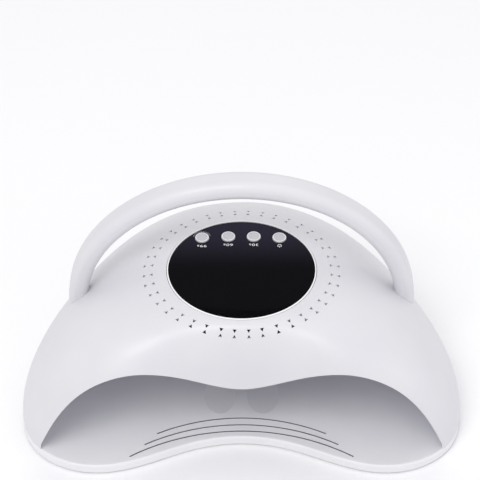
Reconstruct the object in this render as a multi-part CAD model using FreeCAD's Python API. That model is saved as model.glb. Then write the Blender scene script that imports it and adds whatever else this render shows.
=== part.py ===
import FreeCAD, Part
import math
import os

# A two-hand UV curing lamp: a domed housing with a carry handle stands on a kidney-shaped base plate.
# Six steel pins on the plate enter sleeves in the housing and hold it there by magnets, so it lifts off.
# Millimetres, +Z up, +X to the right of the person facing the two hand openings, which face -Y.
# The origin is the middle of the floor area under the whole lamp.

V = FreeCAD.Vector
UP = V(0, 0, 1)
OUT_DIR = "parts"

# ---------------------------------------------------------------- driving dimensions
# Right half of the kidney outline that the housing and the plate share, from the rear round to the front.
OUTLINE_HALF = [
    (0, 118), (50, 108), (93, 78), (125, 36), (146, -6), (154.5, -45),
    (148, -77), (128, -96), (100, -103), (70, -97), (35, -83), (0, -77),
]
CENTRE_SHIFT = -7.6            # moves the outline so that the box round it is centred on Y
SAMPLES = 64                   # points along each lofted contour
FINE_SAMPLES = 960             # points used to place small parts
LEVELS = 12                    # contour steps from the rim to the display
SEAM = -54                     # direction of the lofts' seam, in degrees: clear of every hole and vent

FOOT_PROUD = 1.0               # how far the rubber feet stand below the plate
PLATE_THICK = 7.0
PLATE_WALL = 2.8
PLATE_EDGE_WALL = 3.0
PLATE_ROUND = 1.4
COVER_THICK = 1.4
PLATE_TOP = FOOT_PROUD + PLATE_THICK
DOCK_GAP = 0.3                 # plate top to housing underside when docked
HOUSING_Z = PLATE_TOP + DOCK_GAP

SHELL_HEIGHT = 100.0           # housing underside to the display plane
SHELL_WALL = 2.6
DISPLAY_A = 51.5               # half width of the display opening
DISPLAY_B = 49.0               # half depth of it
DISPLAY_Y = -12.0              # its centre, from the outline's own origin
DISPLAY_EASE = 0.15            # how much wider the shell is opened than the dome's flat top
BULGE_SIDE, BULGE_REAR, BULGE_FRONT = 1.82, 1.74, 2.8
VALLEY_DEPTH = 4.5             # finger valley beside each handle foot
VALLEY_ANGLE, VALLEY_SPREAD = 0.15, 0.27
VALLEY_LEVEL, VALLEY_LENGTH = 0.60, 0.17

# Right half of the front opening's edge, X and height above the housing underside.
ARCH_HALF = [(0, 48.5), (14, 51.5), (38, 63.8), (70, 75), (97, 67), (115, 51.3), (128, 31), (138.2, 6)]

LINER_GAP_FRONT = 3.0          # shell surface to liner surface at the front edge
LINER_GAP_WALL = 20.0          # the same at the sides and rear
LINER_GAP_TOP = 16.0
LINER_WALL = 1.8

VENT_COUNT = 40
VENT_SIDE = 2.7                # side of each triangular vent
VENT_RINGS = [(9.8, 0), (15.2, 180)]       # distance beyond the display opening, turn of the triangle
VENT_TUCK = 0.2                # how much nearer the display the rings run at front and rear

HANDLE_A, HANDLE_B = 121.5, 113.0      # outer half width and rise above the feet
HANDLE_FOOT_Z = 59.0
HANDLE_THICK, HANDLE_WIDE, HANDLE_ROUND = 13.5, 19.0, 5.6

PIN_SPOTS = [(37, 95.5), (103, 49.5), (143.2, -25)]   # right-hand pins; the left ones mirror them
PIN_R, PIN_HEIGHT, PIN_FOOT_R = 1.9, 12.0, 3.2
SLEEVE_R_IN, SLEEVE_R_OUT = 2.35, 3.3
RING_THICK = 2.6

DIMPLE_X, DIMPLE_Y, DIMPLE_A, DIMPLE_B, DIMPLE_DEPTH = 15.2, -37.9, 11.4, 17.5, 1.8
GROOVES = [(58.7, -73.7, -59.5), (67.0, -83.6, -65.7), (77.0, -94.3, -71.5)]   # end X, end Y, middle Y
GROOVE_WIDE, GROOVE_DEEP = 1.1, 1.6

WINDOW_A, WINDOW_B = 50.3, 47.8
WINDOW_TOP, WINDOW_THICK = 99.8, 2.2
BUTTON_SPOTS = {"button_high": -27.6, "button_middle": -9.3, "button_low": 8.5, "button_power": 26.4}
BUTTON_Y, BUTTON_DROP = 20.6, 1.2      # middle pair's Y; how much nearer the front the outer pair is
BUTTON_R, BUTTON_HOLE_R, BUTTON_FLANGE_R = 4.9, 5.3, 5.7
BOARD_TOP = 91.6

LED_WALL_LEVELS = [0.24, 0.50]
LED_WALL_ANGLES = [-6, 22, 48, 74]     # degrees from +X towards the rear; mirrored to the left
LED_TOP_RINGS = [(6, 17.0), (12, 36.0)]
LED_R = 2.6
LINER_SCREW_ANGLES = [8, 61]
RING_SCREW_ANGLES = [-14, 12, 48, 75]
JACK_Z, JACK_BORE_R, JACK_BORE_LONG = 14.0, 2.75, 7.0
JACK_WELL_R, JACK_WELL_LONG = 2.5, 5.4     # the narrower well behind the bore, where the pin stands


# ---------------------------------------------------------------- small helpers
def move(shape, x=0.0, y=0.0, z=0.0):
    """A copy of shape moved by x, y, z."""
    copy = shape.copy()
    copy.translate(V(x, y, z))
    return copy


def group(shapes):
    """Separate solids in one compound."""
    return Part.makeCompound(shapes)


def fuse_all(shapes):
    """One solid from shapes that overlap."""
    return shapes[0].multiFuse(shapes[1:]).removeSplitter()


def rod(radius, z_low, z_high, x=0.0, y=0.0):
    """An upright cylinder between two heights."""
    return Part.makeCylinder(radius, z_high - z_low, V(x, y, z_low))


def turned(profile):
    """A solid of revolution about Z from (radius, height) corners."""
    wire = Part.makePolygon([V(r, 0, z) for r, z in profile + profile[:1]])
    return Part.Face(wire).revolve(V(0, 0, 0), UP, 360)


def closed_wire(points):
    """A smooth closed curve through points."""
    curve = Part.BSplineCurve()
    curve.interpolate(Points=points, PeriodicFlag=True)
    return Part.Wire([curve.toShape()])


def prism(points, z_low, z_high):
    """An upright prism with a smooth closed outline."""
    flat = [V(p.x, p.y, z_low) for p in points]
    return Part.Face(closed_wire(flat)).extrude(V(0, 0, z_high - z_low))


def oval(a, b, z_low, z_high, y=DISPLAY_Y):
    """An upright elliptical prism centred on the display axis."""
    steps = 32
    ring = [V(a * math.cos(2 * math.pi * i / steps), y + b * math.sin(2 * math.pi * i / steps), 0)
            for i in range(steps)]
    return prism(ring, z_low, z_high)


def along(shape, point, normal):
    """shape, built on Z, moved to point and turned so that its Z follows normal."""
    copy = shape.copy()
    copy.Placement = FreeCAD.Placement(point, FreeCAD.Rotation(UP, normal)).multiply(copy.Placement)
    return copy


def both_sides(spots):
    """Every (x, y) spot and its mirror image in X."""
    return [(side * x, y) for x, y in spots for side in (1, -1)]


def smooth_step(value, low, high):
    """0 below low, 1 above high, with a smooth rise between."""
    t = min(1.0, max(0.0, (value - low) / (high - low)))
    return t * t * (3 - 2 * t)


# ---------------------------------------------------------------- the lamp's own surfaces
def outline_points(inset=0.0, samples=SAMPLES):
    """The kidney outline's points, moved inwards by inset."""
    corners = [V(x, y, 0) for x, y in OUTLINE_HALF] + [V(-x, y, 0) for x, y in OUTLINE_HALF[-2:0:-1]]
    curve = Part.BSplineCurve()
    curve.interpolate(Points=corners, PeriodicFlag=True)
    first, last = curve.FirstParameter, curve.LastParameter
    points = []
    for i in range(samples):
        u = first + (last - first) * i / samples
        tangent = curve.tangent(u)[0]
        points.append(curve.value(u) + V(tangent.y, -tangent.x, 0) * inset)
    return points


def display_angle(point):
    """The direction of a point, read on the display opening's ellipse."""
    return math.atan2((point.y - DISPLAY_Y) * DISPLAY_A / DISPLAY_B, point.x)


def seam_first(points):
    """The closed outline's points, starting at the one nearest the seam."""
    start = min(range(len(points)), key=lambda i: abs(display_angle(points[i]) - math.radians(SEAM)))
    return points[start:] + points[:start]


OUTLINE = seam_first(outline_points())
FINE_OUTLINE = outline_points(samples=FINE_SAMPLES)


def dome_point(outline_point, level, valley=True):
    """A point of the housing's outer surface: level 0 is the rim, level 1 the display opening."""
    angle = display_angle(outline_point)
    edge = V(DISPLAY_A * math.cos(angle), DISPLAY_Y + DISPLAY_B * math.sin(angle), 0)
    lean = math.sin(angle)
    end_bulge = BULGE_REAR if lean >= 0 else BULGE_FRONT
    bulge = BULGE_SIDE + (end_bulge - BULGE_SIDE) * lean * lean
    sweep = min(level, 1.0) * math.pi / 2
    reach = max(0.0, math.cos(sweep)) ** (2 / bulge)
    height = SHELL_HEIGHT * max(0.0, math.sin(sweep)) ** (2 / bulge)
    if valley:
        across = math.exp(-((math.asin(lean) - VALLEY_ANGLE) / VALLEY_SPREAD) ** 2)
        height -= VALLEY_DEPTH * across * math.exp(-((level - VALLEY_LEVEL) / VALLEY_LENGTH) ** 2)
    flat = edge + (outline_point - edge) * reach
    return V(flat.x, flat.y, height)


def dome_normal(outline, index, level):
    """The outward normal of the plain dome above one point of an outline."""
    if level > 0.985:
        return UP
    before, here, after = (outline[(index + k) % len(outline)] for k in (-1, 0, 1))
    step = 0.01
    low, high = max(0.0, level - step), min(1.0, level + step)
    round_way = dome_point(after, level, False) - dome_point(before, level, False)
    up_way = dome_point(here, high, False) - dome_point(here, low, False)
    if level <= step:
        up_way = UP
    normal = up_way.cross(round_way)
    normal.normalize()
    return normal


def liner_gap(outline_point, level):
    """How far the liner's outer face lies inside the housing's outer face."""
    side = smooth_step(math.sin(display_angle(outline_point)), -0.52, -0.16)
    top = smooth_step(level, 0.50, 0.92)
    wall = LINER_GAP_FRONT + (LINER_GAP_WALL - LINER_GAP_FRONT) * side
    return wall + (LINER_GAP_TOP - wall) * top


def contour(level, depth, valley=True):
    """One closed contour at a level, depth (a number or a rule) inside the dome."""
    points = []
    for index, outline_point in enumerate(OUTLINE):
        inset = depth(outline_point, level) if callable(depth) else depth
        normal = dome_normal(OUTLINE, index, level)
        points.append(dome_point(outline_point, level, valley) - normal * inset)
    return points


def dome_solid(depth, valley=True, below=0.0):
    """The solid under the dome surface set in by depth, its loft started below the rim if asked."""
    levels = [k / LEVELS for k in range(LEVELS + 1)]
    rings = [contour(level, depth, valley) for level in levels]
    for ring in (rings[0], rings[-1]):
        flat_z = sum(p.z for p in ring) / len(ring)
        for p in ring:
            p.z = flat_z
    if below:
        rings.insert(0, [V(p.x, p.y, -below) for p in rings[0]])
    return Part.makeLoft([closed_wire(ring) for ring in rings], True, False)


def arch_tool(depth_back=-66.0):
    """The space cut out of the front: both hand arches as one prism along Y."""
    high = ([V(-x, 0, z) for x, z in ARCH_HALF[:0:-1]] + [V(x, 0, z) for x, z in ARCH_HALF])
    edge = Part.BSplineCurve()
    edge.interpolate(high)
    low_z, wide = -20.0, ARCH_HALF[-1][0] + 4
    floor_line = [high[-1], V(wide, 0, low_z), V(-wide, 0, low_z), high[0]]
    face = Part.Face(Part.Wire([edge.toShape()] + Part.makePolygon(floor_line).Edges))
    return move(face.extrude(V(0, -100, 0)), y=depth_back)


DOME = dome_solid(0.0)
ARCH = arch_tool()


def nearest_index(degrees):
    """The fine outline point nearest a direction seen from the display's centre, 90 being the rear."""
    want = math.radians(degrees)

    def miss(index):
        turn = display_angle(FINE_OUTLINE[index]) - want
        return abs(math.atan2(math.sin(turn), math.cos(turn)))

    return min(range(FINE_SAMPLES), key=miss)


def mirrored_angles(angles):
    """The directions and their mirror images."""
    return [a for angle in angles for a in (angle, 180 - angle)]


def on_dome(degrees, level):
    """Point, outward normal and liner gap at a direction and level."""
    index = nearest_index(degrees)
    below = FINE_OUTLINE[index]
    normal = dome_normal(FINE_OUTLINE, index, level)
    return (dome_point(below, level, False), normal, liner_gap(below, level))


def level_beyond_display(degrees, distance):
    """The level reached by walking down the dome for a distance from the display opening."""
    below = FINE_OUTLINE[nearest_index(degrees)]
    level, walked, step = 1.0, 0.0, 0.005
    here = dome_point(below, level)
    while walked < distance:
        level -= step
        there = dome_point(below, level)
        walked += (there - here).Length
        here = there
    return level


# ---------------------------------------------------------------- base plate group
def base_plate():
    """Top moulding of the plate: rounded rim, two thumb dimples, three grooves, bosses underneath."""
    body = prism(OUTLINE, FOOT_PROUD, PLATE_TOP)
    rim = [e for e in body.Edges if abs(e.BoundBox.ZMin - PLATE_TOP) < 0.01 and e.BoundBox.ZLength < 0.01]
    body = body.makeFillet(PLATE_ROUND, rim)
    roof = PLATE_TOP - PLATE_WALL
    body = body.cut(prism(outline_points(PLATE_EDGE_WALL), FOOT_PROUD - 1, roof))
    cover_top = FOOT_PROUD + COVER_THICK
    pad = oval(DIMPLE_A + 3, DIMPLE_B + 3, roof - 2.0, roof + 0.5, DIMPLE_Y)
    adds = [move(pad, x=side * DIMPLE_X) for side in (1, -1)]
    adds += [rod(4.5, roof - 1.0, roof + 0.5, x, y) for x, y in both_sides(PIN_SPOTS)]
    adds += [rod(3.5, cover_top + 0.1, roof + 0.5, x, y) for x, y in cover_screw_spots()]
    body = fuse_all([body] + adds)
    dent = Part.makeSphere(1.0)
    stretch = FreeCAD.Matrix()
    stretch.scale(DIMPLE_A / 0.6, DIMPLE_B / 0.6, DIMPLE_DEPTH / 0.2)
    dent = dent.transformGeometry(stretch)
    cuts = [move(dent, side * DIMPLE_X, DIMPLE_Y, PLATE_TOP + 0.8 * DIMPLE_DEPTH / 0.2) for side in (1, -1)]
    cuts += [groove(*spec) for spec in GROOVES]
    cuts += [rod(1.4, roof - 2, PLATE_TOP + 1, x, y) for x, y in both_sides(PIN_SPOTS)]
    cuts += [rod(1.1, cover_top - 1, roof + 1, x, y) for x, y in cover_screw_spots()]
    return body.cut(group(cuts))


def groove(end_x, end_y, middle_y):
    """A thin curved slot in the plate's top, round the front hollow."""
    sag = middle_y - end_y
    radius = (end_x ** 2 + sag ** 2) / (2 * sag)
    centre_y = middle_y - radius
    low = PLATE_TOP - GROOVE_DEEP
    outer = rod(radius + GROOVE_WIDE / 2, low, PLATE_TOP + 1, 0, centre_y)
    inner = rod(radius - GROOVE_WIDE / 2, low - 1, PLATE_TOP + 2, 0, centre_y)
    limit = Part.makeBox(2 * end_x, 2 * radius, 4, V(-end_x, centre_y, low - 1))
    ends = [rod(GROOVE_WIDE / 2, low, PLATE_TOP + 1, side * end_x, end_y) for side in (1, -1)]
    return fuse_all([outer.cut(inner).common(limit)] + ends)


def cover_screw_spots():
    """Where the cover's screws are."""
    return both_sides([(60, 30), (108, -66), (45, -62)]) + [(0, 84), (0, -2)]


def foot_spots():
    """Where the four rubber feet are."""
    return both_sides([(122, -42), (62, 74)])


def base_cover():
    """Bottom sheet of the plate, with shallow seats for the feet."""
    sheet = prism(outline_points(PLATE_EDGE_WALL + 0.2), FOOT_PROUD, FOOT_PROUD + COVER_THICK)
    cuts = [rod(7.2, FOOT_PROUD - 1, FOOT_PROUD + 0.6, x, y) for x, y in foot_spots()]
    cuts += [rod(1.7, FOOT_PROUD - 1, FOOT_PROUD + 2, x, y) for x, y in cover_screw_spots()]
    cuts += [Part.makeCone(2.9, 1.7, 1.0, V(x, y, FOOT_PROUD)) for x, y in cover_screw_spots()]
    return sheet.cut(group(cuts))


def base_feet():
    """Four round rubber feet."""
    profile = [(0, 0), (6.4, 0), (7.0, 0.5), (7.0, FOOT_PROUD + 0.6), (0, FOOT_PROUD + 0.6)]
    return group([move(turned(profile), x, y) for x, y in foot_spots()])


def cover_screws():
    """Countersunk screws that hold the bottom sheet."""
    z = FOOT_PROUD + 0.1
    profile = [(0, z), (2.6, z), (1.5, z + 1.0), (1.0, z + 1.3), (1.0, z + 3.9), (0, z + 4.1)]
    drive = Part.makeBox(3.0, 0.6, 0.6, V(-1.5, -0.3, z - 0.01))
    cross = drive.fuse(Part.makeBox(0.6, 3.0, 0.6, V(-0.3, -1.5, z - 0.01)))
    screw = turned(profile).cut(cross)
    return group([move(screw, x, y) for x, y in cover_screw_spots()])


def post_pins():
    """Six steel pins with a flange foot, a waist and a hollow tip."""
    tip = PIN_HEIGHT
    profile = [
        (1.3, 0), (PIN_FOOT_R, 0), (PIN_FOOT_R, 0.5), (2.3, 1.1), (PIN_R, 1.6), (PIN_R, tip - 2.6),
        (1.5, tip - 2.2), (1.5, tip - 1.7), (PIN_R, tip - 1.3), (PIN_R, tip - 0.4), (1.6, tip),
        (1.05, tip), (1.05, tip - 3.2), (0, tip - 3.8), (0, 6.0), (1.3, 5.4),
    ]
    return group([move(turned(profile), x, y, PLATE_TOP) for x, y in both_sides(PIN_SPOTS)])


def post_screws():
    """Pan-head screws that pull the pins down from under the plate."""
    seat = PLATE_TOP - PLATE_WALL - 1.0
    profile = [(0, seat - 1.6), (2.2, seat - 1.6), (2.7, seat - 1.1), (2.7, seat), (1.25, seat),
               (1.25, PLATE_TOP + 4.6), (0, PLATE_TOP + 5.0)]
    return group([move(turned(profile), x, y) for x, y in both_sides(PIN_SPOTS)])


# ---------------------------------------------------------------- housing group
def vent_prisms():
    """Pairs of small triangular vents in two rings round the display, square to the surface."""
    cuts = []
    reach = VENT_SIDE / math.sqrt(3)
    for distance, turn in VENT_RINGS:
        for k in range(VENT_COUNT):
            degrees = 360 * (k + 0.5) / VENT_COUNT - 90
            corners = []
            for corner in range(4):
                aim = math.radians(degrees + turn + 120 * corner)
                corners.append(V(reach * math.cos(aim), reach * math.sin(aim), -6))
            prism_cut = Part.Face(Part.makePolygon(corners)).extrude(V(0, 0, 12))
            nearer = 1 - VENT_TUCK * math.sin(math.radians(degrees)) ** 2
            point, normal, _ = on_dome(degrees, level_beyond_display(degrees, distance * nearer))
            cuts.append(along(prism_cut, point, normal))
    return cuts


def liner_screw_places():
    """Where the bosses that carry the liner stand."""
    return [on_dome(angle, 0.36) for angle in mirrored_angles(LINER_SCREW_ANGLES)]


def ring_screw_spots():
    """Where the bottom ring is screwed to bosses on the shell."""
    inside = outline_points(6.6, FINE_SAMPLES)
    return [(inside[nearest_index(a)].x, inside[nearest_index(a)].y) for a in mirrored_angles(RING_SCREW_ANGLES)]


def handle_screw_places():
    """The point under each handle screw, two screws to a foot."""
    return [V(side * (HANDLE_A - HANDLE_THICK / 2), y, 0) for side in (1, -1) for y in (-4.5, 4.5)]


def outer_shell():
    """The domed outer moulding, open below and through the two front arches."""
    body = DOME.cut(dome_solid(SHELL_WALL, below=2.0))
    bosses = [rod(3.2, RING_THICK + 0.1, 18.0, x, y) for x, y in ring_screw_spots()]
    for point, normal, gap in liner_screw_places():
        bosses.append(along(rod(3.2, -gap + 0.15, -1.0), point, normal))
    bosses = [boss.common(DOME) for boss in bosses]
    body = body.multiFuse(bosses)
    opening = oval(DISPLAY_A + DISPLAY_EASE, DISPLAY_B + DISPLAY_EASE, SHELL_HEIGHT - 12, SHELL_HEIGHT + 5)
    cuts = [ARCH, opening]
    cuts.append(Part.makeCylinder(5.3, 20, V(0, 108, JACK_Z), V(0, 1, 0)))
    cuts += [rod(1.1, 0, 14.0, x, y) for x, y in ring_screw_spots()]
    cuts += [along(rod(1.1, -gap - 1, -gap + 9), p, n) for p, n, gap in liner_screw_places()]
    cuts += [rod(1.7, 30, 90, p.x, p.y) for p in handle_screw_places()]
    for cut in cuts:
        body = body.cut(cut)
    return body.cut(group(vent_prisms()))


def inner_liner():
    """The reflector hood inside the shell, with holes for the light beads."""
    body = dome_solid(liner_gap, valley=False)
    hollow = dome_solid(lambda point, level: liner_gap(point, level) + LINER_WALL, valley=False, below=2.0)
    body = body.cut(hollow).cut(ARCH)
    holes = [along(rod(LED_R + 0.25, -gap - 6, -gap + 6), p, n) for p, n, gap in wall_led_places()]
    holes += [rod(LED_R + 0.25, 78, 90, x, y) for x, y in top_led_spots()]
    holes += [rod(2.3, 78, 90, x, y) for x, y in sensor_spots()]
    holes += [along(rod(1.6, -gap - 6, -gap + 6), p, n) for p, n, gap in liner_screw_places()]
    return body.cut(group(holes))


def bottom_ring():
    """The flat ring that closes the space between shell and liner, with the six pin holes."""
    inner = contour(0.0, lambda point, level: liner_gap(point, level) - 0.3)
    ring = prism(outline_points(SHELL_WALL + 0.35), 0.0, RING_THICK).cut(prism(inner, -1, RING_THICK + 1))
    ring = ring.cut(Part.makeBox(400, 200, 20, V(-200, -200 - 64, -10)))
    cuts = [rod(SLEEVE_R_IN, -1, 5, x, y) for x, y in both_sides(PIN_SPOTS)]
    cuts += [rod(PIN_FOOT_R + 0.6, -1, 1.5, x, y) for x, y in both_sides(PIN_SPOTS)]
    cuts += [rod(1.6, -1, 5, x, y) for x, y in ring_screw_spots()]
    cuts += [rod(3.1, -1, 1.1, x, y) for x, y in ring_screw_spots()]
    return ring.cut(group(cuts))


def post_sleeves():
    """Guide sleeves that the pins slide up into."""
    top = PIN_HEIGHT + 0.2
    profile = [(SLEEVE_R_IN, RING_THICK), (SLEEVE_R_OUT, RING_THICK), (SLEEVE_R_OUT, top), (SLEEVE_R_IN, top)]
    return group([move(turned(profile), x, y) for x, y in both_sides(PIN_SPOTS)])


def docking_magnets():
    """A disc magnet on top of each sleeve."""
    base = PIN_HEIGHT + 0.2
    return group([rod(3.0, base, base + 3.0, x, y) for x, y in both_sides(PIN_SPOTS)])


def pan_screw(head_r, head_z, shank_r, length):
    """A pan-head screw, head below the seat at Z 0 and shank above it."""
    profile = [(0, -head_z), (head_r * 0.8, -head_z), (head_r, -head_z * 0.6), (head_r, 0),
               (shank_r, 0), (shank_r, length - 0.6), (0, length)]
    slot = Part.makeBox(head_r * 1.2, 0.5, 0.5, V(-head_r * 0.6, -0.25, -head_z - 0.01))
    cross = slot.fuse(Part.makeBox(0.5, head_r * 1.2, 0.5, V(-0.25, -head_r * 0.6, -head_z - 0.01)))
    return turned(profile).cut(cross)


def ring_screws():
    """Screws from below through the bottom ring into the shell's bosses."""
    screw = pan_screw(2.7, 1.0, 1.1, 11.0)
    return group([move(screw, x, y, 1.1) for x, y in ring_screw_spots()])


def liner_screws():
    """Screws from inside the hood through the liner into the shell's bosses."""
    screw = pan_screw(2.7, 1.5, 1.1, 9.0)
    lift = -LINER_WALL - 0.3
    return group([along(move(screw, z=lift - gap), p, n) for p, n, gap in liner_screw_places()])


def carry_handle():
    """The fixed arch handle, its feet shaped to the shell's shoulders."""
    a, b = HANDLE_A - HANDLE_THICK / 2, HANDLE_B - HANDLE_THICK / 2
    long_way, short_way = (a, b) if a > b else (b, a)
    ellipse = Part.Ellipse(V(0, 0, 0), long_way, short_way)
    half = ellipse.toShape(0, math.pi)
    half.rotate(V(0, 0, 0), V(1, 0, 0), 90)
    half.translate(V(0, 0, HANDLE_FOOT_Z))
    drop = 16.0
    legs = [Part.makeLine(V(side * a, 0, HANDLE_FOOT_Z - drop), V(side * a, 0, HANDLE_FOOT_Z)) for side in (1, -1)]
    path = Part.Wire([legs[0], half, legs[1]])
    section = rounded_rectangle(HANDLE_THICK, HANDLE_WIDE, HANDLE_ROUND)
    section.translate(V(a, 0, HANDLE_FOOT_Z - drop))
    handle = path.makePipeShell([section], True, True).cut(DOME)
    solids = sorted(handle.Solids, key=lambda s: s.Volume)
    handle = solids[-1]
    cuts = [rod(1.1, 30, handle_seat(p) + 9.5, p.x, p.y) for p in handle_screw_places()]
    return handle.cut(group(cuts))


def rounded_rectangle(wide, deep, radius):
    """A closed rounded rectangle in the XY plane, centred on the origin."""
    x, y, r = wide / 2, deep / 2, radius
    k = r * (1 - math.sqrt(0.5))
    edges = []
    corners = [(1, 1), (-1, 1), (-1, -1), (1, -1)]
    starts = []
    for n, (sx, sy) in enumerate(corners):
        along_x, along_y = V(sx * (x - r), sy * y, 0), V(sx * x, sy * (y - r), 0)
        middle = V(sx * (x - k), sy * (y - k), 0)
        first, last = (along_y, along_x) if n % 2 == 0 else (along_x, along_y)
        edges.append(Part.Arc(first, middle, last).toShape())
        starts.append((first, last))
    for n in range(4):
        edges.append(Part.makeLine(starts[n][1], starts[(n + 1) % 4][0]))
    return Part.Wire(Part.__sortEdges__(edges))


def handle_seat(place):
    """Height of the shell's outer face under a handle screw."""
    line = Part.makeLine(V(place.x, place.y, 0), V(place.x, place.y, 150))
    return line.common(DOME).BoundBox.ZMax


def handle_screws():
    """Screws from inside the shell up into the handle's feet."""
    screws = []
    for place in handle_screw_places():
        screw = pan_screw(2.6, 1.6, 1.05, 15.8)
        screws.append(move(screw, place.x, place.y, handle_seat(place) - 7.0))
    return group(screws)


def display_bezel():
    """The thin bright ring round the window, its ledge relieved round the keys' flanges."""
    ring = oval(DISPLAY_A - 0.2, DISPLAY_B - 0.2, SHELL_HEIGHT - 4.2, SHELL_HEIGHT + 0.5)
    top_edges = [e for e in ring.Edges if abs(e.BoundBox.ZMin - SHELL_HEIGHT - 0.5) < 0.01]
    ring = ring.makeFillet(0.35, top_edges)
    window_low = WINDOW_TOP - WINDOW_THICK
    ring = ring.cut(oval(WINDOW_A + 0.1, WINDOW_B + 0.1, window_low, SHELL_HEIGHT + 2))
    ring = ring.cut(oval(WINDOW_A - 0.8, WINDOW_B - 0.8, SHELL_HEIGHT - 6, SHELL_HEIGHT + 2))
    reliefs = [rod(BUTTON_FLANGE_R + 0.4, SHELL_HEIGHT - 6, window_low, x, y) for _, x, y in button_spots()]
    return ring.cut(group(reliefs))


def button_spots():
    """Name, X and Y of each push button."""
    outer = max(BUTTON_SPOTS.values())
    return [(name, x, BUTTON_Y - BUTTON_DROP * (x / outer) ** 2) for name, x in BUTTON_SPOTS.items()]


def display_window():
    """The smoked oval window with the four button holes."""
    window = oval(WINDOW_A, WINDOW_B, WINDOW_TOP - WINDOW_THICK, WINDOW_TOP)
    holes = [rod(BUTTON_HOLE_R, WINDOW_TOP - 5, WINDOW_TOP + 5, x, y) for _, x, y in button_spots()]
    return window.cut(group(holes))


def push_button(x, y):
    """One round key: dished cap, and a flange that stops it under the window."""
    low = WINDOW_TOP - WINDOW_THICK
    top = WINDOW_TOP + 0.8
    profile = [
        (0, low - 1.2), (BUTTON_FLANGE_R, low - 1.2), (BUTTON_FLANGE_R, low - 0.3), (BUTTON_R, low - 0.3),
        (BUTTON_R, top - 0.35), (BUTTON_R - 0.35, top), (BUTTON_R - 0.9, top), (BUTTON_R - 1.2, top - 0.25),
        (0, top - 0.25),
    ]
    return move(turned(profile), x, y)


def tact_switches():
    """One small switch on the board under each key."""
    switches = []
    for _, x, y in button_spots():
        body = Part.makeBox(6, 6, 2.6, V(x - 3, y - 3, BOARD_TOP))
        switches.append(body.fuse(rod(1.7, BOARD_TOP + 2.5, BOARD_TOP + 3.6, x, y)))
    return group(switches)


def display_module():
    """The two-digit light block under the window."""
    block = Part.makeBox(40, 24, 5.2, V(-20, DISPLAY_Y - 18, BOARD_TOP))
    return block.makeFillet(1.0, [e for e in block.Edges if e.BoundBox.ZLength > 1])


def spacer_spots():
    """Where the control board is held."""
    return both_sides([(36, DISPLAY_Y - 24), (36, DISPLAY_Y + 20)])


def control_board():
    """The circuit board that carries the switches and the digits."""
    board = Part.makeBox(84, 76, 1.6, V(-42, DISPLAY_Y - 30, BOARD_TOP - 1.6))
    board = board.makeFillet(5.0, [e for e in board.Edges if e.BoundBox.ZLength > 1])
    return board.cut(group([rod(1.4, 80, 99, x, y) for x, y in spacer_spots()]))


def board_spacers():
    """Four spacers between the light board and the control board."""
    low = SHELL_HEIGHT - LINER_GAP_TOP + 1.6
    profile = [(1.2, low), (2.6, low), (2.6, BOARD_TOP - 1.6), (1.2, BOARD_TOP - 1.6)]
    return group([move(turned(profile), x, y) for x, y in spacer_spots()])


def board_screws():
    """Screws down through the control board and its spacers."""
    profile = [(0, BOARD_TOP + 1.4), (2.0, BOARD_TOP + 1.4), (2.5, BOARD_TOP + 0.9), (2.5, BOARD_TOP),
               (1.1, BOARD_TOP), (1.1, BOARD_TOP - 7.2), (0, BOARD_TOP - 7.2)]
    return group([move(turned(profile), x, y) for x, y in spacer_spots()])


def led_board_top():
    """The aluminium board that lies on the liner's flat roof."""
    low = SHELL_HEIGHT - LINER_GAP_TOP + 0.1
    board = oval(46.0, 43.5, low, low + 1.5)
    return board.cut(group([rod(1.4, low - 1, low + 3, x, y) for x, y in spacer_spots()]))


def top_led_spots():
    """Where the beads in the roof are: rings about the display axis."""
    spots = []
    for count, radius in LED_TOP_RINGS:
        for k in range(count):
            t = 2 * math.pi * (k + 0.5) / count
            spots.append((radius * math.cos(t), DISPLAY_Y + 0.93 * radius * math.sin(t)))
    return spots


def wall_led_places():
    """Point, normal and gap for each bead in the liner's wall."""
    return [on_dome(angle, level) for level in LED_WALL_LEVELS for angle in mirrored_angles(LED_WALL_ANGLES)]


def led_bead():
    """A bead with a round lens that looks down, its seat at Z 0."""
    lens = Part.makeSphere(LED_R, V(0, 0, -2.0)).common(rod(LED_R, -4.4, -2.0))
    return lens.fuse(rod(LED_R, -2.0, 0.0))


def led_beads_top():
    """The roof beads."""
    seat = SHELL_HEIGHT - LINER_GAP_TOP + 0.1
    return group([move(led_bead(), x, y, seat) for x, y in top_led_spots()])


def led_beads_wall():
    """The wall beads, each facing into the hood."""
    return group([along(move(led_bead(), z=-gap + 0.5), p, n) for p, n, gap in wall_led_places()])


def led_star_boards():
    """The small aluminium board behind each wall bead."""
    plate = Part.makeBox(11, 11, 1.2, V(-5.5, -5.5, 0))
    plate = plate.makeFillet(2.0, [e for e in plate.Edges if abs(e.BoundBox.ZLength - 1.2) < 0.01])
    return group([along(move(plate, z=-gap + 0.5), p, n) for p, n, gap in wall_led_places()])


def sensor_spots():
    """Where the two hand sensors look down."""
    return both_sides([(28, DISPLAY_Y - 32)])


def hand_sensors():
    """Two small infrared sensors in the roof that switch the light on."""
    low = SHELL_HEIGHT - LINER_GAP_TOP - 2.4
    lens = Part.makeSphere(2.0, V(0, 0, low)).common(rod(2.0, low - 2.2, low))
    sensor = lens.fuse(rod(2.0, low, SHELL_HEIGHT - LINER_GAP_TOP + 0.1))
    return group([move(sensor, x, y) for x, y in sensor_spots()])


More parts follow.
